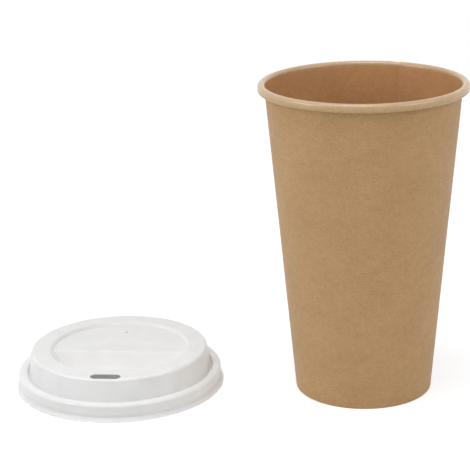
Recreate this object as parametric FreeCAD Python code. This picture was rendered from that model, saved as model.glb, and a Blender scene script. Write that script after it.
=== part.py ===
# Hot-drink cup of kraft paper with a thin plastic sip lid, which is off and lies beside the cup.
#
# The cup is two pieces of paper. The side wall is one sheet: it is folded up inside the base as a hem,
# runs up the tapered wall, rolls outwards into the rim, and its two ends overlap in an upright seam.
# The bottom is a disc with a turned-down skirt, which the hem holds against the wall.
# The lid is one formed sheet: a raised drinking ring with a slot, a well with a high shelf at the back
# and a deep pool at the front, and a channel with a locking bead that snaps over the rolled rim.
#
# Millimetres, +Z up. The origin is the centre of the cup's foot, on the surface that it stands on.
# The front of the lid, with its drinking slot, faces -Y.
import FreeCAD, Part
import math
import os

Vector = FreeCAD.Vector
Z_AXIS = Vector(0, 0, 1)
ORIGIN = Vector(0, 0, 0)

# Cup
CUP_HEIGHT = 138.0
RIM_DIAMETER = 90.0
BASE_DIAMETER = 60.0
PAPER = 0.4                 # thickness of the board
GLUE_GAP = 0.05             # between the skirt of the bottom and the paper on each side of it
CURL_WIDTH = 3.1            # rolled rim, across
CURL_HEIGHT = 4.0           # rolled rim, up and down
CURL_CROWN = 0.1            # level run over the top of the roll
CURL_FOOT_RADIUS = 0.7      # inner bend at the lower edge of the roll
CURL_TUCK = 0.9             # end of the sheet, turned up inside the roll
HEM_HEIGHT = 7.0            # top of the sheet folded up inside the base
HEM_BEND = 0.55             # outer bend of the fold at the foot
SEAM_WIDTH = 7.0            # overlap of the sheet's two ends
SEAM_RAMP = 4.0             # stretch in which the outer end climbs over the inner end
SEAM_RAMP_STEPS = 4
SEAM_DIRECTION = 68.0       # degrees from +X to the inner end, at the back of the cup

# Bottom of the cup
BOTTOM_RECESS = 8.5         # underside of the disc above the foot
BOTTOM_BEND = 0.5           # inner bend between disc and skirt
SKIRT_LIFT = 0.5            # lower edge of the skirt above the doubled paper of the fold

# Lid
LID_SHEET = 0.35            # thickness of the plastic
LID_HEIGHT = 17.0
LID_SPREAD = 110.0          # from the cup's axis to the lid's axis
LID_TURN = -1.3             # degrees about the lid's own axis
RIM_PLAY = 0.25             # between the skirt of the lid and the rolled rim
RIM_GRIP = 0.1              # how much the plug is wider than the mouth
BEAD_BITE = 0.4             # how far the locking bead reaches in under the rim
BEAD_HEIGHT = 0.9           # straight inner land of the bead
BEAD_RUN = 0.9              # height of the slope above the bead
SKIRT_FLARE = 1.1           # how far the foot flange stands out from the bead's neck
FLANGE_RISE = 1.2           # height of the flare below the bead
FLANGE_WIDTH = 0.7          # flat flange at the foot of the lid
CHANNEL_BEND = 1.4          # outer bends of the channel over the rim
GROOVE_DEPTH = 1.5          # groove between the drinking ring and the channel
GROOVE_BEND = 0.35
RING_DIAMETER = 79.0        # outer edge of the drinking ring, at the top
RING_BEND = 1.2
SKIRT_BEND = 0.5            # bends of the bead and the foot flange
WELL_DIAMETER = 62.2        # inner edge of the drinking ring, at the top
WELL_SLOPE = 43.0           # degrees between the well's wall and the upright
WELL_EDGE_BEND = 1.0
SHELF_DEPTH = 1.3           # high back half of the well, below the ring
POOL_DEPTH = 7.6            # deep front half of the well, below the ring
POOL_BEND = 1.5
STEP_OFFSET = 3.8           # top edge of the step, in front of the lid's axis
STEP_RUN = 4.7              # how far the step slopes forward on its way down
STEP_EDGE_BEND = 0.8        # rounding of the step's top edge
STEP_FOOT_BEND = 1.2        # rounding of the step's foot
FLOOR_SINK = 0.04           # how far the step's foot bend runs on below the pool's floor
SLOT_LENGTH = 13.2
SLOT_WIDTH = 5.0
SLOT_CENTRE = 36.1          # from the lid's axis to the middle of the drinking slot
SLOT_CORNER = 2.4
VENT_DIAMETER = 1.3
VENT_CENTRE = 20.4          # from the lid's axis to the vent hole, at the back

# Worked out from the sizes above
RIM_RADIUS = RIM_DIAMETER / 2
BASE_RADIUS = BASE_DIAMETER / 2
CURL_CENTRE_Z = CUP_HEIGHT - CURL_WIDTH / 2
WALL_RISE = (RIM_RADIUS - CURL_WIDTH + PAPER - BASE_RADIUS) / CURL_CENTRE_Z
WALL_TILT = math.atan(WALL_RISE)
FOLD_WIDTH = 3 * PAPER + 2 * GLUE_GAP


class FoldLine:
    """Section of a bent sheet: straight runs through corner points, each corner rounded by its own radius.

    Corners are (radius from the axis, height, bend radius). A line moved to the left of the direction of
    travel by an offset keeps the centres of its bends, so that two offsets bound a sheet of even thickness.
    """

    def __init__(self, corners):
        self.points = [Vector(r, 0, z) for r, z, _ in corners]
        self.bends = [bend for _, _, bend in corners]

    def edges(self, offset):
        runs = [(b - a).normalize() for a, b in zip(self.points, self.points[1:])]
        lefts = [Vector(-run.z, 0, run.x) for run in runs]
        made = []
        here = self.points[0] + lefts[0] * offset
        for i in range(1, len(self.points) - 1):
            before, after = runs[i - 1], runs[i]
            turn = math.atan2(before.x * after.z - before.z * after.x, before.dot(after))
            side = math.copysign(1.0, turn)
            reach = self.bends[i] * math.tan(abs(turn) / 2)
            start = self.points[i] - before * reach
            centre = start + lefts[i - 1] * (side * self.bends[i])
            radius = self.bends[i] - side * offset
            arc_start = centre - lefts[i - 1] * (side * radius)
            arc_end = centre - lefts[i] * (side * radius)
            middle = (lefts[i - 1] + lefts[i]).normalize()
            made += straight(here, arc_start)
            made.append(Part.Arc(arc_start, centre - middle * (side * radius), arc_end).toShape())
            here = arc_end
        made += straight(here, self.points[-1] + lefts[-1] * offset)
        return made

    def strip(self, low, high):
        """Face of the sheet between two offsets."""
        near = self.edges(low)
        far = self.edges(high)
        ends = straight(near[-1].Vertexes[-1].Point, far[-1].Vertexes[-1].Point)
        ends += straight(near[0].Vertexes[0].Point, far[0].Vertexes[0].Point)
        return Part.Face(Part.Wire(Part.__sortEdges__(near + far + ends)))


def straight(a, b):
    """A line from a to b as a list, which is empty where the two meet."""
    return [Part.makeLine(a, b)] if a.distanceToPoint(b) > 1e-6 else []


def turned(shape, degrees):
    """A copy of the shape, turned about the Z axis."""
    copy = shape.copy()
    copy.rotate(ORIGIN, Z_AXIS, degrees)
    return copy


def wall_radius(z):
    """Outer radius of the cup's wall at a height."""
    return BASE_RADIUS + WALL_RISE * z


def across_sheet(distance):
    """Level distance through paper that lies parallel to the wall, for a thickness square to it."""
    return distance / math.cos(WALL_TILT)


def wall_line(foot_z):
    """Outer face of the side sheet, from the top of the hem round the foot and up into the rolled rim."""
    curl_radius = (CURL_WIDTH - CURL_CROWN) / 2 - PAPER
    curl_top = CUP_HEIGHT - PAPER
    curl_foot = CUP_HEIGHT - CURL_HEIGHT + PAPER
    outside = RIM_RADIUS - PAPER
    tuck = outside - 2 * CURL_FOOT_RADIUS
    hem = across_sheet(FOLD_WIDTH)
    return FoldLine([
        (wall_radius(HEM_HEIGHT) - hem, HEM_HEIGHT, 0),
        (wall_radius(foot_z) - hem, foot_z, HEM_BEND),
        (wall_radius(foot_z), foot_z, HEM_BEND),
        (wall_radius(curl_top), curl_top, curl_radius),
        (outside, curl_top, curl_radius),
        (outside, curl_foot, CURL_FOOT_RADIUS),
        (tuck, curl_foot, CURL_FOOT_RADIUS),
        (tuck, curl_foot + CURL_FOOT_RADIUS + CURL_TUCK, 0),
    ])


def climbing_section(share):
    """Section of the outer end of the sheet, where it has climbed a share of its way over the inner end."""
    step = share * PAPER
    return wall_line(step).strip(-step, PAPER - step)


def make_sidewall():
    """One sheet wound once round, with its outer end climbing over its inner end."""
    middle_radius = (RIM_RADIUS + BASE_RADIUS) / 2
    overlap = math.degrees(SEAM_WIDTH / middle_radius)
    ramp = math.degrees(SEAM_RAMP / middle_radius)
    single = turned(climbing_section(0), SEAM_DIRECTION + ramp)
    single = single.revolve(ORIGIN, Z_AXIS, 360 - overlap - ramp)
    doubled = turned(wall_line(PAPER).strip(-PAPER, PAPER), SEAM_DIRECTION - overlap)
    doubled = doubled.revolve(ORIGIN, Z_AXIS, overlap)
    sections = []
    for i in range(SEAM_RAMP_STEPS + 1):
        share = i / SEAM_RAMP_STEPS
        angle = SEAM_DIRECTION + ramp * (1 - share)
        sections.append(turned(climbing_section(share), angle).OuterWire)
    climb = Part.makeLoft(sections, True, True)
    return single.fuse([climb, doubled]).removeSplitter()


def make_bottom():
    """Disc with a skirt turned down between the wall and the hem."""
    top = BOTTOM_RECESS
    inset = across_sheet(2 * PAPER + GLUE_GAP)
    skirt_foot = 2 * PAPER + SKIRT_LIFT
    line = FoldLine([
        (0, top, 0),
        (wall_radius(top) - inset, top, BOTTOM_BEND),
        (wall_radius(skirt_foot) - inset, skirt_foot, 0),
    ])
    return line.strip(0, PAPER).revolve(ORIGIN, Z_AXIS, 360)


def well_radius(depth):
    """Radius of the well's sloping wall at a depth below the drinking ring."""
    return WELL_DIAMETER / 2 - depth * math.tan(math.radians(WELL_SLOPE))


def face_below(line, offset, low):
    """Region between a fold line, moved by an offset, and a level far below it."""
    edges = line.edges(offset)
    start = edges[0].Vertexes[0].Point
    end = edges[-1].Vertexes[-1].Point
    closing = Part.makePolygon([end, Vector(end.x, 0, low), Vector(start.x, 0, low), start])
    return Part.Face(Part.Wire(Part.__sortEdges__(edges + closing.Edges)))


def lid_line():
    """Top face of the lid through its pool, from the axis outwards to the edge of the foot flange."""
    plug = RIM_RADIUS - CURL_WIDTH + RIM_GRIP - LID_SHEET
    skirt = RIM_RADIUS + RIM_PLAY + LID_SHEET
    bead = RIM_RADIUS - BEAD_BITE + LID_SHEET
    neck = bead + SKIRT_FLARE
    bead_foot = LID_SHEET + FLANGE_RISE
    bead_top = bead_foot + BEAD_HEIGHT
    slope_top = bead_top + BEAD_RUN
    channel_top = slope_top + CURL_HEIGHT + LID_SHEET
    groove = channel_top - GROOVE_DEPTH
    return FoldLine([
        (0, LID_HEIGHT - POOL_DEPTH, 0),
        (well_radius(POOL_DEPTH), LID_HEIGHT - POOL_DEPTH, POOL_BEND),
        (well_radius(0), LID_HEIGHT, WELL_EDGE_BEND),
        (RING_DIAMETER / 2, LID_HEIGHT, RING_BEND),
        (plug - 2 * GROOVE_BEND, groove, GROOVE_BEND),
        (plug, groove, GROOVE_BEND),
        (plug, channel_top, CHANNEL_BEND),
        (skirt, channel_top, CHANNEL_BEND),
        (skirt, slope_top, SKIRT_BEND),
        (bead, bead_top, SKIRT_BEND),
        (bead, bead_foot, SKIRT_BEND),
        (neck, LID_SHEET, SKIRT_BEND),
        (neck + FLANGE_WIDTH, LID_SHEET, 0),
    ])


def step_line(reach):
    """Top face of the lid from back to front: shelf, step, and a foot just under the pool's floor."""
    shelf = LID_HEIGHT - SHELF_DEPTH
    floor = LID_HEIGHT - POOL_DEPTH - FLOOR_SINK
    return FoldLine([
        (-reach, shelf, 0),
        (STEP_OFFSET, shelf, STEP_EDGE_BEND),
        (STEP_OFFSET + STEP_RUN, floor, STEP_FOOT_BEND),
        (reach, floor, 0),
    ])


def lid_form(offset):
    """Everything under one face of the lid, as a solid: a pool all round, with the shelf filled in."""
    low = -LID_HEIGHT
    reach = WELL_DIAMETER / 2 + WELL_EDGE_BEND
    bowl = face_below(lid_line(), offset, low).revolve(ORIGIN, Z_AXIS, 360)
    shelf = face_below(step_line(reach), offset, low / 2)
    shelf.translate(Vector(0, -reach, 0))
    shelf = turned(shelf.extrude(Vector(0, 2 * reach, 0)), -90)
    inside_ring = Part.makeCylinder(reach, 2 * LID_HEIGHT, Vector(0, 0, low))
    return bowl.fuse(shelf.common(inside_ring))


def slot_form():
    """Drinking slot as an upright prism."""
    box = Part.makeBox(SLOT_LENGTH, SLOT_WIDTH, 2 * RING_BEND)
    box.translate(Vector(-SLOT_LENGTH / 2, -SLOT_CENTRE - SLOT_WIDTH / 2, LID_HEIGHT - RING_BEND))
    upright = [edge for edge in box.Edges if abs(edge.tangentAt(0).z) > 0.5]
    return box.makeFillet(SLOT_CORNER, upright)


def make_lid():
    """One formed sheet: what lies under its top face, less what lies under its lower face."""
    vent = Part.makeCylinder(VENT_DIAMETER / 2, LID_HEIGHT, Vector(0, VENT_CENTRE, LID_HEIGHT / 2))
    lid = lid_form(0).cut(lid_form(-LID_SHEET)).cut([slot_form(), vent])
    lid = turned(lid, LID_TURN)
    lid.translate(Vector(-LID_SPREAD, 0, 0))
    return lid


def main():
    os.makedirs("parts", exist_ok=True)
    pieces = {
        "paper_sidewall": make_sidewall(),
        "paper_bottom": make_bottom(),
        "sip_lid": make_lid(),
    }
    for name, shape in pieces.items():
        print(name, "solids", len(shape.Solids), "valid", shape.isValid(), "volume", round(shape.Volume, 1))
        shape.exportStep(f"parts/{name}.step")


main()
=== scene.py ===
# The looks of a kraft-paper hot cup and its white sip lid, which is off and lies beside it.
# Metres, +Z up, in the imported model's own frame. The front of both faces -Y.
import math

import bpy
from mathutils import Matrix, Vector


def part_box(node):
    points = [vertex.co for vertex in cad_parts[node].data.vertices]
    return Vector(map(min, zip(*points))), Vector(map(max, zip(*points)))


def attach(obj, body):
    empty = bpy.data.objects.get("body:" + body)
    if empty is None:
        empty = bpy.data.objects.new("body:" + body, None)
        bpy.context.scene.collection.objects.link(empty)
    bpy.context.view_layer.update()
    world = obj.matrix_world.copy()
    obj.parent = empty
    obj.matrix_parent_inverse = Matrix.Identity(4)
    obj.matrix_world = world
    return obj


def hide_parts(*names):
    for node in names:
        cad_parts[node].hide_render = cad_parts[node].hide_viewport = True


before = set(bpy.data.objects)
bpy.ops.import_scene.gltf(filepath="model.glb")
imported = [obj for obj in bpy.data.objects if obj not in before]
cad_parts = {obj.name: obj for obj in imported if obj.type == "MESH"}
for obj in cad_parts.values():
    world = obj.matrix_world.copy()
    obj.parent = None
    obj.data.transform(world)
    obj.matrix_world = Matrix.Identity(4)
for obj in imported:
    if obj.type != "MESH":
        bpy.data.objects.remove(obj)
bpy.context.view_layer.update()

MM = 0.001
FULL_TURN = 2 * math.pi

# Sheets of the cup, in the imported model's sizes. Only the roll is a little wider and less tall.
PAPER = 0.4 * MM
BASE_RADIUS = 30.0 * MM
CURL_WIDTH = 3.3 * MM
CURL_CROWN = 0.1 * MM
CURL_HEIGHT = 3.7 * MM
CURL_FOOT_RADIUS = 0.7 * MM
CURL_TUCK = 0.9 * MM
HEM_HEIGHT = 7.0 * MM
HEM_BEND = 0.55 * MM
SKIRT_ROOM = 0.5 * MM               # the bottom's skirt and its glue, between wall and hem
SEAM_WIDTH = 7.0 * MM
SEAM_RAMP = 4.0 * MM
SEAM_DIRECTION = math.radians(68.0)

# Second layer at the seam. Rolling presses a share of it flat in the rim, and it lifts the foot.
SEAM_GLUE = 0.02 * MM
SEAM_PRESSING = 0.5
SEAM_PRESSING_DEPTHS = (6 * MM, 3 * MM)     # below the rim's top
FOOT_LIFT_FADE = (3 * MM, 16 * MM)          # heights over which the lift fades out

# How finely a sheet is divided
WIND_STEPS = 260
PRESS_STEPS = 288
FOOT_ZONE = 6.0 * MM                # height up to which the wall is divided finely
FINE_STEP = 0.55 * MM
WALL_STEP = 3.2 * MM
ARC_STEP = math.radians(14.0)
ROUNDING = 0.001 * MM               # play for rounded numbers, and the shortest run that is divided
CLOSING_DISTANCE = 0.01 * MM        # joins points at the bottom's middle and where its turn closes
SHARP_EDGE = math.radians(50.0)

# Teeth of the knurling wheel in the hem, fading out at these lengths along the sheet
KNURLS = 84
KNURL_DEPTH = 0.14 * MM
KNURL_FADE = (4.8 * MM, 5.8 * MM)

# Shallow line that the press leaves round the foot
PRESS_LINE_HEIGHT = 2.3 * MM
PRESS_LINE_DEPTH = 0.07 * MM
PRESS_LINE_WIDTH = 0.5 * MM

# Unevenness of the wall and the rim, as a noise round the cup: its scale and detail
WALL_RIPPLE = 0.10 * MM
RIPPLE_PATTERN = (2.3, 1.5)
RIPPLE_TALLNESS = 9.0               # pattern units for each metre up the wall
RIPPLE_LOW_FADE = (8 * MM, 40 * MM)
RIPPLE_HIGH_DEPTHS = (30 * MM, 6 * MM)
RIM_DIP = 0.06 * MM
RIM_DIP_PATTERN = (3.1, 2.0)
RIM_DIP_LEVEL = 4.0                 # height in its noise, away from the ripple's
RIM_DIP_DEPTHS = (16 * MM, 3 * MM)

# Bottom of the cup: a disc with its edge turned down between the wall and the hem
BOTTOM_RECESS = 8.5 * MM
BOTTOM_BEND = 0.5 * MM
BOTTOM_GLUE = 0.08 * MM             # between the skirt and the wall
SKIRT_FOOT = 1.3 * MM
LEVEL_LEAN = 0.01                   # the sheet still lies level where its side leans out less than this
PANEL_RADIUS = 23.4 * MM            # middle of the step round the pressed panel
PANEL_EDGE = 0.9 * MM               # half the width of that step
PANEL_EDGE_RUNS = 4                 # divisions of each half of that step
PANEL_STEP = 0.30 * MM
PANEL_SAG = 0.25 * MM

# Pleats in the bottom's edge, by lengths along the sheet before and after the start of the bend
PLEATS = 53
PLEAT_DEPTH = 0.11 * MM
PLEAT_STRAY = 9.0                   # how far noise shifts the pleats, in radians of their wave
PLEAT_STRAY_SCALE = 4.0
PLEAT_SHARPNESS = 2.5
PLEAT_GROWTH = (-2.2 * MM, 0.4 * MM)
PLEAT_PRESSING = (0.4 * MM, 1.3 * MM)
PLEAT_LEFT = 0.15                   # share of a pleat that is left where the glue presses it flat

# Where most of a noise's values lie
NOISE_SPAN = (0.3, 0.7)

# Tone of the paper: noises by scale for each millimetre, detail and roughness, and their shares
CLOUDS = (0.06, 3.0)
BLOTCHES = (0.30, 4.0, 0.62)
MOTTLE = (1.5, 3.0, 0.65)
CLOUD_TONE = 0.24
BLOTCH_TONE = 0.36
MOTTLE_TONE = 0.7

# Strands by turn in degrees, length and width in millimetres, and the noise's values at their two edges
PALE_STRANDS = (
    (12, 2.4, 0.15, 0.58, 0.70),
    (84, 1.8, 0.13, 0.57, 0.69),
    (-40, 2.2, 0.13, 0.59, 0.71),
)
DARK_STRANDS = (46, 1.5, 0.15, 0.65, 0.75)
STRAND_NOISE = (1.0, 2.0, 0.5, 0.7)         # scale, detail, roughness and distortion
STRAND_BEND = 1.7                   # how far noise shifts the strands, in millimetres
STRAND_BEND_NOISE = {"Scale": 0.45, "Detail": 1.0}
PALE_STRAND_SHARE = 0.30
DARK_STRAND_SHARE = 0.40

# Relief and gloss of the paper
BLOTCH_RELIEF = 0.5
MOTTLE_RELIEF = 0.5
PALE_STRAND_RELIEF = 0.35
DARK_STRAND_RELIEF = 0.2
RELIEF_STRENGTH = 0.55
RELIEF_DEPTH = 0.09 * MM
MOTTLE_SHINE = 0.2
STRAND_SHINE = 0.05
PLAIN_FINISH = {"roughness": 0.72, "sheen": 0.18}
COATED_WALL_FINISH = {"roughness": 0.5, "sheen": 0.0}
COATED_BOTTOM_FINISH = {"roughness": 0.55, "sheen": 0.0}

# Coat of the paper, which shows most on top of the roll and less down its outer side
ROLL_FADE = (-0.9 * MM, 0.8 * MM)           # lengths along the sheet from the start of the roll
ROLL_SIDE_FADE = 1.2 * MM
ROLL_TOP_COAT = 0.9
ROLL_SIDE_COAT = 0.25
WALL_COAT = 0.1
BOARD_GLOSS = {"Specular IOR Level": 0.3, "Coat Roughness": 0.25, "Coat IOR": 1.65}

# Cut edge of the board
EDGE_GRAIN = (6.0, 3.0, 0.7)
EDGE_RELIEF_STRENGTH = 0.5
EDGE_RELIEF_DEPTH = 0.05 * MM
EDGE_ROUGHNESS = 0.8
EDGE_ROUGHNESS_RANGE = 0.1
EDGE_GLOSS = {"Specular IOR Level": 0.2}

# Plastic of the lid
PLASTIC_WAVES = (0.09, 2.0)
PLASTIC_GRAIN = (2.4, 3.0, 0.6)
PLASTIC_GRAIN_RELIEF = 0.06
PLASTIC_RELIEF_STRENGTH = 0.5
PLASTIC_RELIEF_DEPTH = 0.15 * MM
PLASTIC_ROUGHNESS = 0.27
PLASTIC_ROUGHNESS_RANGE = 0.12
TRANSLUCENT_SHEET = {
    "Subsurface Weight": 0.85,
    "Subsurface Radius": (1.0, 1.0, 1.0),
    "Subsurface Scale": 0.8 * MM,
}

# Stage: lamps by name, place and power, all of one size and pointed at the same place
LAMPS = (
    ("top", (-0.15, -0.25, 1.30), 6.8),
    ("left", (-1.20, -0.50, 0.70), 5.2),
    ("right", (1.20, -0.55, 0.80), 4.55),
)
LAMP_SIZE = 0.8
LAMP_TARGET = Vector((-0.05, 0.0, 0.06))
WORLD_FILL = 0.46                   # strength of the light that comes from all round
FLOOR_REACH = 3.0
FLOOR_DROP = 0.05 * MM
FLOOR_GLOW = 0.66                   # what the shown floor has without light, so that shadows stay soft
FLOOR_FADE = (0.35, 0.9)            # distances from the cup over which the floor turns plain white

# The camera's distance and height angle are taken from the cup's middle
CAMERA_DISTANCE = 0.7061
CAMERA_ELEVATION = math.radians(17.66)
CAMERA_LENS = 123.40
CAMERA_AIM = Vector((-0.0562, 0.0, 0.0695))


def seen(red, green, blue):
    """Scene colour of a colour as a screen shows it, each part from 0 to 255."""
    def linear(part):
        share = part / 255
        return share / 12.92 if share <= 0.04045 else ((share + 0.055) / 1.055) ** 2.4
    return (linear(red), linear(green), linear(blue), 1.0)


# Colours by their dark and light tone. The two kinds of kraft also have their pale and dark strands.
PLAIN_KRAFT = (seen(158, 120, 76), seen(206, 166, 118), seen(224, 193, 149), seen(122, 86, 50))
COATED_KRAFT = (seen(164, 118, 76), seen(210, 160, 109), seen(220, 180, 132), seen(128, 90, 56))
# Paler colour of the coated board on the roll, which is partly painted highlight of the light from above
PALE_ROLL_AND_PAINTED_HIGHLIGHT = (seen(166, 132, 90), seen(206, 171, 124))
CUT_KRAFT = (seen(176, 142, 104), seen(214, 184, 148))
WHITE_PLASTIC = (seen(240, 240, 239), seen(245, 245, 245))
WHITE = (1.0, 1.0, 1.0, 1.0)
HALF_GREY = (0.5, 0.5, 0.5, 1.0)
FLOOR_PAINT = seen(232, 232, 232)


class Value:
    """An output of a node. Python's operators on it add Math nodes."""

    def __init__(self, nodes, socket):
        self.nodes = nodes
        self.socket = socket

    def other(self, name):
        """Another output of the same node."""
        return Value(self.nodes, self.socket.node.outputs[name])

    def __add__(self, other):
        return self.nodes.math("ADD", self, other)

    def __sub__(self, other):
        return self.nodes.math("SUBTRACT", self, other)

    def __rsub__(self, other):
        return self.nodes.math("SUBTRACT", other, self)

    def __mul__(self, other):
        return self.nodes.math("MULTIPLY", self, other)

    __radd__ = __add__
    __rmul__ = __mul__


class Nodes:
    """A node tree with one way to add a node: its type, its settings, and its sockets' values or links."""

    def __init__(self, tree):
        self.tree = tree

    def node(self, kind, settings=None, inputs=None, output=0):
        made = self.tree.nodes.new(kind)
        for name, value in (settings or {}).items():
            setattr(made, name, value)
        for key, value in (inputs or {}).items():
            socket = find_socket(made.inputs, key)
            if isinstance(value, Value):
                self.tree.links.new(value.socket, socket)
            else:
                socket.default_value = value
        if made.outputs:
            return Value(self, find_socket(made.outputs, output))
        return None

    def math(self, operation, *values):
        return self.node("ShaderNodeMath", {"operation": operation}, dict(enumerate(values)))

    def combine(self, x, y, z):
        return self.node("ShaderNodeCombineXYZ", {}, {"X": x, "Y": y, "Z": z})

    def blend(self, share, first, second):
        """Colour between two colours."""
        sockets = {"Factor_Float": share, "A_Color": first, "B_Color": second}
        return self.node("ShaderNodeMix", {"data_type": "RGBA"}, sockets, "Result_Color")

    def ease(self, value, low, high, from_value=0.0, to_value=1.0):
        """Smooth step from one value to another, as value goes from low to high."""
        return self.node("ShaderNodeMapRange", {"interpolation_type": "SMOOTHSTEP"}, {
            "Value": value,
            "From Min": low,
            "From Max": high,
            "To Min": from_value,
            "To Max": to_value,
        })

    def noise(self, place, scale, detail=2.0, roughness=0.5, distortion=0.0):
        return self.node("ShaderNodeTexNoise", {}, {
            "Vector": place,
            "Scale": scale,
            "Detail": detail,
            "Roughness": roughness,
            "Distortion": distortion,
        })

    def bump(self, height, strength, depth):
        sockets = {"Height": height, "Strength": strength, "Distance": depth}
        return self.node("ShaderNodeBump", {}, sockets, "Normal")


def find_socket(sockets, key):
    if isinstance(key, int):
        return sockets[key]
    by_identifier = [s for s in sockets if s.identifier == key]
    return by_identifier[0] if by_identifier else sockets[key]


# Section of a sheet

class Fold:
    """A point of a sheet's section: place, the side that faces the drink, and length along the sheet."""

    def __init__(self, place, side, along):
        self.place = place
        self.side = side
        self.along = along


def fold_line(corners):
    """Outer face of a bent sheet through corners (radius, height, bend, step), as a list of folds."""
    points = [Vector((r, z)) for r, z, _, _ in corners]
    runs = [(b - a).normalized() for a, b in zip(points, points[1:])]
    sides = [Vector((-run.y, run.x)) for run in runs]
    places = [(points[0], sides[0])]
    for i in range(1, len(points)):
        last = i == len(points) - 1
        turn = 0.0 if last else math.atan2(runs[i - 1].cross(runs[i]), runs[i - 1].dot(runs[i]))
        bend = corners[i][2]
        reach = bend * math.tan(abs(turn) / 2)
        start = places[-1][0]
        end = points[i] - runs[i - 1] * reach
        length = (end - start).length
        if length > ROUNDING:
            pieces = max(1, round(length / corners[i][3]))
            places += [(start.lerp(end, (k + 1) / pieces), sides[i - 1]) for k in range(pieces)]
        if bend and turn:
            inwards = math.copysign(1.0, turn)
            centre = end + sides[i - 1] * (inwards * bend)
            steps = max(2, round(abs(turn) / ARC_STEP))
            for k in range(1, steps + 1):
                side = Matrix.Rotation(turn * k / steps, 2) @ sides[i - 1]
                places.append((centre - side * (inwards * bend), side))
    folds = []
    along = 0.0
    for k, (place, side) in enumerate(places):
        along += (place - places[k - 1][0]).length if k else 0.0
        folds.append(Fold(place, side, along))
    return folds


def cup_sizes():
    """Height, radius of the rim, and how far the wall leans out for each unit up."""
    low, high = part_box("paper_sidewall")
    height = high.z
    rim_radius = max(high.x, high.y)
    rise = (rim_radius - CURL_WIDTH + PAPER - BASE_RADIUS) / (height - CURL_WIDTH / 2)
    return height, rim_radius, rise


def wall_section():
    """Section of the side sheet: hem, fold at the foot, wall, and the roll with its tucked end."""
    height, rim_radius, rise = cup_sizes()
    hem = (2 * PAPER + SKIRT_ROOM) / math.cos(math.atan(rise))
    outside = rim_radius - PAPER
    tuck = outside - 2 * CURL_FOOT_RADIUS
    curl_radius = (CURL_WIDTH - CURL_CROWN) / 2 - PAPER
    curl_top = height - PAPER
    curl_foot = height - CURL_HEIGHT + PAPER
    return fold_line([
        (BASE_RADIUS + rise * HEM_HEIGHT - hem, HEM_HEIGHT, 0, FINE_STEP),
        (BASE_RADIUS - hem, 0, HEM_BEND, FINE_STEP),
        (BASE_RADIUS, 0, HEM_BEND, FINE_STEP),
        (BASE_RADIUS + rise * FOOT_ZONE, FOOT_ZONE, 0, FINE_STEP),
        (BASE_RADIUS + rise * curl_top, curl_top, curl_radius, WALL_STEP),
        (outside, curl_top, curl_radius, FINE_STEP),
        (outside, curl_foot, CURL_FOOT_RADIUS, FINE_STEP),
        (tuck, curl_foot, CURL_FOOT_RADIUS, FINE_STEP),
        (tuck, curl_foot + CURL_FOOT_RADIUS + CURL_TUCK, 0, FINE_STEP),
    ])


def bottom_section():
    """Section of the bottom from its middle outwards, with the turned-down edge, along its lower face."""
    _, _, rise = cup_sizes()
    inset = (2 * PAPER + BOTTOM_GLUE) / math.cos(math.atan(rise))
    edge = BASE_RADIUS + rise * BOTTOM_RECESS - inset
    return fold_line([
        (0.0, BOTTOM_RECESS, 0, WALL_STEP),
        (PANEL_RADIUS - PANEL_EDGE, BOTTOM_RECESS, 0, WALL_STEP),
        (PANEL_RADIUS + PANEL_EDGE, BOTTOM_RECESS, 0, PANEL_EDGE / PANEL_EDGE_RUNS),
        (edge, BOTTOM_RECESS, BOTTOM_BEND, FINE_STEP),
        (BASE_RADIUS + rise * SKIRT_FOOT - inset, SKIRT_FOOT, 0, FINE_STEP),
    ])


def section_object(name, folds):
    """The section as a chain of points, which carry what the trees need."""
    mesh = bpy.data.meshes.new("section")
    places = [(f.place.x, 0.0, f.place.y) for f in folds]
    mesh.from_pydata(places, [(i, i + 1) for i in range(len(folds) - 1)], [])
    middles = [f.place + f.side * (PAPER / 2) for f in folds]
    for label, values in (
        ("middle", [(m.x, m.y, 0.0) for m in middles]),
        ("side", [(f.side.x, f.side.y, 0.0) for f in folds]),
    ):
        layer = mesh.attributes.new(label, "FLOAT_VECTOR", "POINT")
        for item, value in zip(layer.data, values):
            item.vector = value
    layer = mesh.attributes.new("along", "FLOAT", "POINT")
    for item, fold in zip(layer.data, folds):
        item.value = fold.along
    made = bpy.data.objects.new(name, mesh)
    bpy.context.scene.collection.objects.link(made)
    return made


# Turning a section into a sheet

WINDING_INPUTS = (
    ("Steps", "NodeSocketInt", WIND_STEPS),
    ("Paper", "NodeSocketFloat", PAPER),
    ("Glue", "NodeSocketFloat", SEAM_GLUE),
    ("Seam direction", "NodeSocketFloat", SEAM_DIRECTION),
    ("Overlap", "NodeSocketFloat", 0.0),
    ("Ramp", "NodeSocketFloat", 0.0),
    ("Cone side", "NodeSocketFloat", 0.0),
    ("Cone sine", "NodeSocketFloat", 0.0),
    ("Rim height", "NodeSocketFloat", 0.0),
    ("Rim dip", "NodeSocketFloat", RIM_DIP),
    ("Seam pressing", "NodeSocketFloat", SEAM_PRESSING),
    ("Ripple", "NodeSocketFloat", WALL_RIPPLE),
    ("Knurls", "NodeSocketFloat", float(KNURLS)),
    ("Knurl depth", "NodeSocketFloat", KNURL_DEPTH),
    ("Press line", "NodeSocketFloat", PRESS_LINE_DEPTH),
)


PRESSING_INPUTS = (
    ("Steps", "NodeSocketInt", PRESS_STEPS),
    ("Panel radius", "NodeSocketFloat", PANEL_RADIUS),
    ("Panel edge", "NodeSocketFloat", PANEL_EDGE),
    ("Panel step", "NodeSocketFloat", PANEL_STEP),
    ("Panel sag", "NodeSocketFloat", PANEL_SAG),
    ("Bend start", "NodeSocketFloat", 0.0),
    ("Pleats", "NodeSocketFloat", float(PLEATS)),
    ("Pleat depth", "NodeSocketFloat", PLEAT_DEPTH),
)


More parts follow.
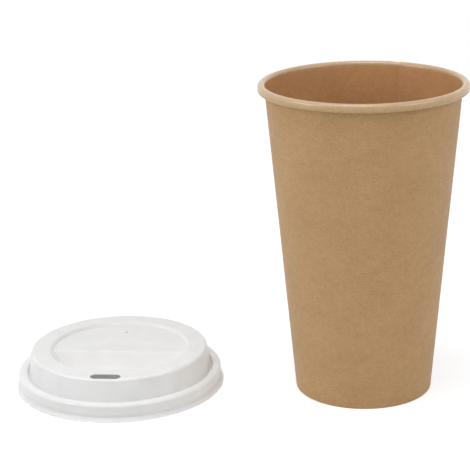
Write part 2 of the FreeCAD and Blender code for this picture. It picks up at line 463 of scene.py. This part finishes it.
class Sweep:
    """The start of a tree that turns a section about the cup's axis: one column of points for each step."""

    def __init__(self, name, inputs):
        self.tree = bpy.data.node_groups.new(name, "GeometryNodeTree")
        self.tree.interface.new_socket("Section", in_out="INPUT", socket_type="NodeSocketGeometry")
        for label, kind, default in inputs:
            socket = self.tree.interface.new_socket(label, in_out="INPUT", socket_type=kind)
            socket.default_value = default
        self.tree.interface.new_socket("Sheet", in_out="OUTPUT", socket_type="NodeSocketGeometry")
        self.nodes = Nodes(self.tree)
        g = self.nodes
        self.section = g.node("NodeGroupInput")

        # A straight path sets the number of steps, and its points know their share of the turn.
        line = g.node("GeometryNodeCurvePrimitiveLine")
        path = g.node("GeometryNodeResampleCurve", {}, {"Curve": line, "Count": self.size("Steps")})
        share = g.node("GeometryNodeSplineParameter")
        path = g.node("GeometryNodeStoreNamedAttribute", {"data_type": "FLOAT", "domain": "POINT"},
                      {"Geometry": path, "Name": "turn", "Value": share})
        profile = g.node("GeometryNodeMeshToCurve", {}, {"Mesh": self.section})
        self.sheet = g.node("GeometryNodeCurveToMesh", {}, {"Curve": path, "Profile Curve": profile})
        self.radius, self.height = self.level_and_up("middle")
        self.side_out, self.side_up = self.level_and_up("side")
        self.along = self.carried("along")
        self.turn = self.carried("turn")

    def size(self, name):
        """A named input of the tree."""
        return self.section.other(name)

    def carried(self, name, kind="FLOAT"):
        """What the points carry under a name."""
        return self.nodes.node("GeometryNodeInputNamedAttribute", {"data_type": kind}, {"Name": name})

    def level_and_up(self, name):
        """The two parts of a vector that the points carry."""
        split = self.nodes.node("ShaderNodeSeparateXYZ", {}, {"Vector": self.carried(name, "FLOAT_VECTOR")})
        return split, split.other("Y")

    def on_circle(self, angle, radius, height):
        g = self.nodes
        return g.combine(radius * g.math("COSINE", angle), radius * g.math("SINE", angle), height)

    def move_to(self, place):
        sockets = {"Geometry": self.sheet, "Position": place}
        self.sheet = self.nodes.node("GeometryNodeSetPosition", {}, sockets)

    def end_in(self, finish):
        """Ends the tree with outward, smooth, real faces in a finish."""
        g = self.nodes
        sheet = g.node("GeometryNodeFlipFaces", {}, {"Mesh": self.sheet})
        sheet = g.node("GeometryNodeSetShadeSmooth", {}, {"Geometry": sheet})
        sheet = g.node("GeometryNodeRealizeInstances", {}, {"Geometry": sheet})
        sheet = g.node("GeometryNodeSetMaterial", {}, {"Geometry": sheet, "Material": finish})
        g.node("NodeGroupOutput", {}, {"Sheet": sheet})
        return self.tree


def winding_tree(finish):
    """Winds a section once round the cup's axis, with its outer end climbing over its inner end."""
    sweep = Sweep("wind sheet", WINDING_INPUTS)
    g = sweep.nodes
    size = sweep.size
    radius = sweep.radius
    height = sweep.height
    turned = sweep.turn * (size("Overlap") + FULL_TURN)
    angle = turned + size("Seam direction") - size("Overlap")

    def towards_rim(depths, from_value=0.0, to_value=1.0):
        """Smooth step between two depths below the top of the rim."""
        low = size("Rim height") - depths[0]
        high = size("Rim height") - depths[1]
        return g.ease(height, low, high, from_value, to_value)

    # Two layers lie over each other at the seam. The foot rises there, so that it still stands level.
    layer = size("Paper") + size("Glue")
    kept = 1.0 - towards_rim(SEAM_PRESSING_DEPTHS) * size("Seam pressing")
    climb = layer * kept * g.ease(turned, size("Overlap"), size("Overlap") + size("Ramp"), 1.0, 0.0)
    lifted = layer * g.ease(turned, FULL_TURN - size("Ramp") * 0.5, FULL_TURN)
    near_foot = g.ease(height, *FOOT_LIFT_FADE, 1.0, 0.0)
    radius = radius - sweep.side_out * climb
    height = height - sweep.side_up * climb + g.math("MAXIMUM", climb, lifted) * near_foot

    # The knurling wheel leaves teeth in the hem, and the press a shallow line round the foot.
    in_hem = g.ease(sweep.along, *KNURL_FADE, 1.0, 0.0)
    teeth = g.math("SINE", angle * size("Knurls")) * 0.5 + 0.5
    radius = radius - teeth * in_hem * size("Knurl depth")
    from_line = g.math("ABSOLUTE", height - PRESS_LINE_HEIGHT)
    on_wall = g.math("GREATER_THAN", sweep.along, HEM_HEIGHT + 2 * HEM_BEND)
    pressed = g.ease(from_line, 0.0, PRESS_LINE_WIDTH, 1.0, 0.0) * on_wall
    radius = radius - pressed * size("Press line")

    # Rolling leaves the rim a little uneven, and the wall isn't perfectly round.
    around = sweep.on_circle(angle, 1.0, height * RIPPLE_TALLNESS)
    ripple = g.noise(around, *RIPPLE_PATTERN) - 0.5
    clear_of_ends = g.ease(height, *RIPPLE_LOW_FADE) * towards_rim(RIPPLE_HIGH_DEPTHS, 1.0, 0.0)
    radius = radius + ripple * clear_of_ends * size("Ripple") * 2.0
    dips = g.noise(sweep.on_circle(angle, 1.0, RIM_DIP_LEVEL), *RIM_DIP_PATTERN)
    height = height - dips * towards_rim(RIM_DIP_DEPTHS) * size("Rim dip")
    sweep.move_to(sweep.on_circle(angle, radius, height))

    # The flat blank is a fan, and its own flat layout is the paper's pattern space.
    reach = size("Cone side") + sweep.along
    fan = turned * size("Cone sine")
    flat = g.combine(reach * g.math("SINE", fan), reach * g.math("COSINE", fan), 0.0)
    sweep.sheet = g.node("GeometryNodeStoreNamedAttribute", {"data_type": "FLOAT2", "domain": "CORNER"},
                         {"Geometry": sweep.sheet, "Name": "blank", "Value": flat})
    return sweep.end_in(finish)


def pressing_tree(finish):
    """Turns a section into a closed disc, with a pressed panel and pleats in the turned-down edge."""
    sweep = Sweep("press bottom", PRESSING_INPUTS)
    g = sweep.nodes
    size = sweep.size
    radius = sweep.radius
    angle = sweep.turn * FULL_TURN

    # The press pushes the middle down by a shallow step, and the board sags a little inside it.
    panel_start = size("Panel radius") - size("Panel edge")
    panel_end = size("Panel radius") + size("Panel edge")
    in_panel = g.ease(radius, panel_start, panel_end, 1.0, 0.0)
    sag = g.ease(radius, 0.0, size("Panel radius"), 1.0, 0.0)
    height = sweep.height - in_panel * size("Panel step") - sag * size("Panel sag")

    def past_bend(lengths, from_value=0.0, to_value=1.0):
        """Smooth step between two lengths along the sheet from the start of the bend."""
        low = size("Bend start") + lengths[0]
        high = size("Bend start") + lengths[1]
        return g.ease(sweep.along, low, high, from_value, to_value)

    # Turning the edge down gathers the board in small, uneven pleats, which the glue presses flat below.
    stray = g.noise(sweep.on_circle(angle, 1.0, 0.0), PLEAT_STRAY_SCALE)
    waves = g.math("SINE", angle * size("Pleats") + stray * PLEAT_STRAY)
    pleats = g.math("POWER", waves * 0.5 + 0.5, PLEAT_SHARPNESS)
    pleats = pleats * past_bend(PLEAT_GROWTH) * past_bend(PLEAT_PRESSING, 1.0, PLEAT_LEFT)
    depth = pleats * size("Pleat depth")
    radius = radius - sweep.side_out * depth
    height = height - sweep.side_up * depth
    sweep.move_to(sweep.on_circle(angle, radius, height))
    sweep.sheet = g.node("GeometryNodeMergeByDistance", {},
                         {"Geometry": sweep.sheet, "Distance": CLOSING_DISTANCE})
    return sweep.end_in(finish)


def set_input(modifier, name, value):
    for item in modifier.node_group.interface.items_tree:
        if item.in_out == "INPUT" and item.name == name:
            modifier[item.identifier] = value


def board_piece(name, folds, tree, sizes, finishes):
    """A piece of board: a section shaped by a tree, made thick, with finishes for its sides and edge."""
    piece = section_object(name, folds)
    for finish in finishes:
        piece.data.materials.append(finish)
    shaping = piece.modifiers.new("shaping", "NODES")
    shaping.node_group = tree
    for label, value in sizes.items():
        set_input(shaping, label, value)
    board = piece.modifiers.new("board", "SOLIDIFY")
    board.thickness = PAPER
    board.offset = 0.0
    board.use_even_offset = True
    board.material_offset = 1
    board.material_offset_rim = 2
    made = bpy.data.meshes.new_from_object(piece.evaluated_get(bpy.context.evaluated_depsgraph_get()))
    piece.modifiers.clear()
    for finish in finishes[1:]:
        made.materials.append(finish)
    piece.data = made
    made.set_sharp_from_angle(angle=SHARP_EDGE)
    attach(piece, "root")
    return piece


def make_sidewall(outside, coated, cut_edge):
    """The one sheet of the side wall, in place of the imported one."""
    height, rim_radius, rise = cup_sizes()
    middle_radius = (rim_radius + BASE_RADIUS) / 2
    cone_sine = math.sin(math.atan(rise))
    sizes = {
        "Overlap": SEAM_WIDTH / middle_radius,
        "Ramp": SEAM_RAMP / middle_radius,
        "Cone side": BASE_RADIUS / cone_sine - HEM_HEIGHT,
        "Cone sine": cone_sine,
        "Rim height": height,
    }
    finishes = (outside, coated, cut_edge)
    piece = board_piece("wound_sheet", wall_section(), winding_tree(outside), sizes, finishes)
    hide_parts("paper_sidewall")


def make_bottom(underside, coated, cut_edge):
    """The bottom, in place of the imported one."""
    folds = bottom_section()
    sizes = {"Bend start": max(f.along for f in folds if f.side.x < LEVEL_LEAN)}
    finishes = (underside, coated, cut_edge)
    piece = board_piece("pressed_bottom", folds, pressing_tree(underside), sizes, finishes)
    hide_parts("paper_bottom")


def finish_lid():
    """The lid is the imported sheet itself."""
    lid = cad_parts["sip_lid"]
    lid.data.materials.clear()
    lid.data.materials.append(formed_plastic())


# Finishes

def new_finish(name):
    finish = bpy.data.materials.new(name)
    finish.use_nodes = True
    finish.node_tree.nodes.clear()
    return finish, Nodes(finish.node_tree)


def finish_surface(nodes, colour, roughness, bump, fixed):
    sockets = {"Base Color": colour, "Roughness": roughness, "Normal": bump}
    sockets.update(fixed)
    surface = nodes.node("ShaderNodeBsdfPrincipled", {}, sockets)
    nodes.node("ShaderNodeOutputMaterial", {}, {"Surface": surface})


def in_millimetres(nodes, source):
    return nodes.node("ShaderNodeVectorMath", {"operation": "SCALE"}, {"Vector": source, "Scale": 1 / MM})


def object_place(nodes):
    return in_millimetres(nodes, nodes.node("ShaderNodeTexCoord", {}, {}, "Object"))


def blank_place(nodes):
    return in_millimetres(nodes, nodes.node("ShaderNodeUVMap", {"uv_map": "blank"}))


def strand_mask(nodes, place, turn, length, width, low, high):
    """Mask of thin strands that run about one way."""
    laid = nodes.node("ShaderNodeMapping", {}, {
        "Vector": place,
        "Rotation": (0.0, 0.0, math.radians(turn)),
        "Scale": (1 / length, 1 / width, 1 / width),
    })
    return nodes.ease(nodes.noise(laid, *STRAND_NOISE), low, high)


def roll_coat_and_painted_highlight(nodes, tone, colour):
    """The coated board is shinier where it is stretched over the roll, and painted paler there, partly as
    its own paler tone and partly as painted highlight of the light from above.
    """
    height, rim_radius, _ = cup_sizes()
    folds = wall_section()
    roll_start = min(f.along for f in folds if f.place.y > height - CURL_WIDTH / 2)
    roll_side = min(f.along for f in folds if f.place.x > rim_radius - PAPER - ROUNDING)
    along = nodes.node("ShaderNodeAttribute", {"attribute_name": "along"}, {}, "Fac")
    rolled = nodes.ease(along, roll_start + ROLL_FADE[0], roll_start + ROLL_FADE[1])
    # Painted paler on the roll: partly its own tone, partly painted highlight of the top light
    colour = nodes.blend(rolled, colour, nodes.blend(tone, *PALE_ROLL_AND_PAINTED_HIGHLIGHT))
    coat = nodes.ease(along, roll_side, roll_side + ROLL_SIDE_FADE, ROLL_TOP_COAT, ROLL_SIDE_COAT)
    return colour, rolled * coat + WALL_COAT


def kraft(name, colours, find_place, roughness, sheen, has_roll=False):
    """Unbleached paper: cloudy and mottled, with pale and dark strands."""
    dark, light, pale_strand, dark_strand = colours
    finish, n = new_finish(name)
    place = find_place(n)
    clouds = n.noise(place, *CLOUDS) - 0.5
    blotches = n.noise(place, *BLOTCHES) - 0.5
    mottle = n.noise(place, *MOTTLE) - 0.5
    tone = n.ease(clouds * CLOUD_TONE + blotches * BLOTCH_TONE + mottle * MOTTLE_TONE + 0.5, 0.0, 1.0)
    colour = n.blend(tone, dark, light)
    bends = n.node("ShaderNodeTexNoise", {}, {"Vector": place, **STRAND_BEND_NOISE}, "Color")
    bent = n.node("ShaderNodeVectorMath", {"operation": "MULTIPLY_ADD"},
                  {0: bends, 1: (STRAND_BEND, STRAND_BEND, STRAND_BEND), 2: place})
    first, second, third = [strand_mask(n, bent, *strands) for strands in PALE_STRANDS]
    pale = n.math("MAXIMUM", first, n.math("MAXIMUM", second, third))
    deep = strand_mask(n, bent, *DARK_STRANDS)
    colour = n.blend(pale * PALE_STRAND_SHARE, colour, pale_strand)
    colour = n.blend(deep * DARK_STRAND_SHARE, colour, dark_strand)
    coat = 0.0
    if has_roll:
        colour, coat = roll_coat_and_painted_highlight(n, tone, colour)
    relief = blotches * BLOTCH_RELIEF + mottle * MOTTLE_RELIEF
    relief = relief + pale * PALE_STRAND_RELIEF - deep * DARK_STRAND_RELIEF
    bump = n.bump(relief, RELIEF_STRENGTH, RELIEF_DEPTH)
    shine = roughness + mottle * MOTTLE_SHINE - pale * STRAND_SHINE
    finish_surface(n, colour, shine, bump, {"Sheen Weight": sheen, "Coat Weight": coat, **BOARD_GLOSS})
    return finish


def cut_board():
    """The bare cut edge of the board, pale and rough."""
    finish, n = new_finish("cut board edge")
    grain = n.noise(object_place(n), *EDGE_GRAIN)
    colour = n.blend(n.ease(grain, *NOISE_SPAN), *CUT_KRAFT)
    bump = n.bump(grain, EDGE_RELIEF_STRENGTH, EDGE_RELIEF_DEPTH)
    roughness = grain * EDGE_ROUGHNESS_RANGE + EDGE_ROUGHNESS
    finish_surface(n, colour, roughness, bump, EDGE_GLOSS)
    return finish


def formed_plastic():
    """Thin white formed plastic, which lets light through, smooth with a faint unevenness."""
    finish, n = new_finish("formed white plastic")
    place = object_place(n)
    waves = n.noise(place, *PLASTIC_WAVES)
    grain = n.noise(place, *PLASTIC_GRAIN)
    colour = n.blend(n.ease(waves, *NOISE_SPAN), *WHITE_PLASTIC)
    bump = n.bump(waves + grain * PLASTIC_GRAIN_RELIEF, PLASTIC_RELIEF_STRENGTH, PLASTIC_RELIEF_DEPTH)
    roughness = grain * PLASTIC_ROUGHNESS_RANGE + PLASTIC_ROUGHNESS
    finish_surface(n, colour, roughness, bump, TRANSLUCENT_SHEET)
    return finish


# Stage

def shown_rays(nodes):
    """1 for rays of the camera, of reflections and through clear things, which all see the backdrop."""
    ray = nodes.node("ShaderNodeLightPath", {}, {}, "Is Camera Ray")
    glossy = ray.other("Is Glossy Ray")
    through = ray.other("Is Transmission Ray")
    return nodes.math("MAXIMUM", ray, nodes.math("MAXIMUM", glossy, through))


def make_floor():
    """White floor that keeps the object's shadow and otherwise shows as the white backdrop."""
    mesh = bpy.data.meshes.new("floor")
    quarters = ((-1, -1), (1, -1), (1, 1), (-1, 1))
    corners = [(x * FLOOR_REACH, y * FLOOR_REACH, -FLOOR_DROP) for x, y in quarters]
    mesh.from_pydata(corners, [], [(0, 1, 2, 3)])
    floor = bpy.data.objects.new("floor", mesh)
    bpy.context.scene.collection.objects.link(floor)
    finish, n = new_finish("white floor")
    plain = n.node("ShaderNodeBsdfDiffuse", {}, {"Color": FLOOR_PAINT})
    glow = n.node("ShaderNodeEmission", {}, {"Color": WHITE, "Strength": FLOOR_GLOW})
    lit = n.node("ShaderNodeBsdfDiffuse", {}, {"Color": HALF_GREY})
    near = n.node("ShaderNodeAddShader", {}, {0: glow, 1: lit})
    white = n.node("ShaderNodeEmission", {}, {"Color": WHITE, "Strength": 1.0})
    place = n.node("ShaderNodeTexCoord", {}, {}, "Object")
    distance = n.node("ShaderNodeVectorMath", {"operation": "LENGTH"}, {0: place}, "Value")
    backdrop = n.node("ShaderNodeMixShader", {}, {0: n.ease(distance, *FLOOR_FADE), 1: near, 2: white})
    surface = n.node("ShaderNodeMixShader", {}, {0: shown_rays(n), 1: plain, 2: backdrop})
    n.node("ShaderNodeOutputMaterial", {}, {"Surface": surface})
    mesh.materials.append(finish)


def make_world():
    world = bpy.data.worlds.new("studio")
    world.use_nodes = True
    world.node_tree.nodes.clear()
    n = Nodes(world.node_tree)
    fill = n.node("ShaderNodeBackground", {}, {"Color": WHITE, "Strength": WORLD_FILL})
    white = n.node("ShaderNodeBackground", {}, {"Color": WHITE, "Strength": 1.0})
    surface = n.node("ShaderNodeMixShader", {}, {0: shown_rays(n), 1: fill, 2: white})
    n.node("ShaderNodeOutputWorld", {}, {"Surface": surface})
    bpy.context.scene.world = world


def make_lamp(name, place, power):
    """Square soft light that points at about the middle of the object."""
    lamp = bpy.data.lights.new(name, "AREA")
    lamp.shape = "SQUARE"
    lamp.size = LAMP_SIZE
    lamp.energy = power
    made = bpy.data.objects.new(name, lamp)
    bpy.context.scene.collection.objects.link(made)
    made.location = place
    made.rotation_mode = "QUATERNION"
    made.rotation_quaternion = (Vector(place) - LAMP_TARGET).to_track_quat("Z", "Y")
    made.visible_camera = False


def make_camera():
    """Camera of the photograph: the cup's axis stands upright in the picture, right of the middle."""
    height, _, _ = cup_sizes()
    camera = bpy.data.cameras.new("camera")
    camera.lens = CAMERA_LENS
    made = bpy.data.objects.new("camera", camera)
    bpy.context.scene.collection.objects.link(made)
    back = Vector((0.0, -math.cos(CAMERA_ELEVATION), math.sin(CAMERA_ELEVATION)))
    place = Vector((0.0, 0.0, height / 2)) + back * CAMERA_DISTANCE
    forward = (CAMERA_AIM - place).normalized()
    up = Vector((0.0, -forward.z, forward.y)).normalized()
    right = forward.cross(up)
    turn = Matrix((right, up, -forward)).transposed()
    made.matrix_world = Matrix.Translation(place) @ turn.to_4x4()
    bpy.context.scene.camera = made


def main():
    bpy.context.scene.view_settings.view_transform = "Standard"
    outside = kraft("kraft outside", PLAIN_KRAFT, blank_place, **PLAIN_FINISH)
    inside = kraft("kraft coated inside", COATED_KRAFT, blank_place, **COATED_WALL_FINISH, has_roll=True)
    bottom = kraft("kraft coated bottom", COATED_KRAFT, object_place, **COATED_BOTTOM_FINISH)
    underside = kraft("kraft underside", PLAIN_KRAFT, object_place, **PLAIN_FINISH)
    cut_edge = cut_board()
    make_sidewall(outside, inside, cut_edge)
    make_bottom(underside, bottom, cut_edge)
    finish_lid()

    make_floor()
    make_world()
    for name, place, power in LAMPS:
        make_lamp(name, place, power)
    make_camera()


main()
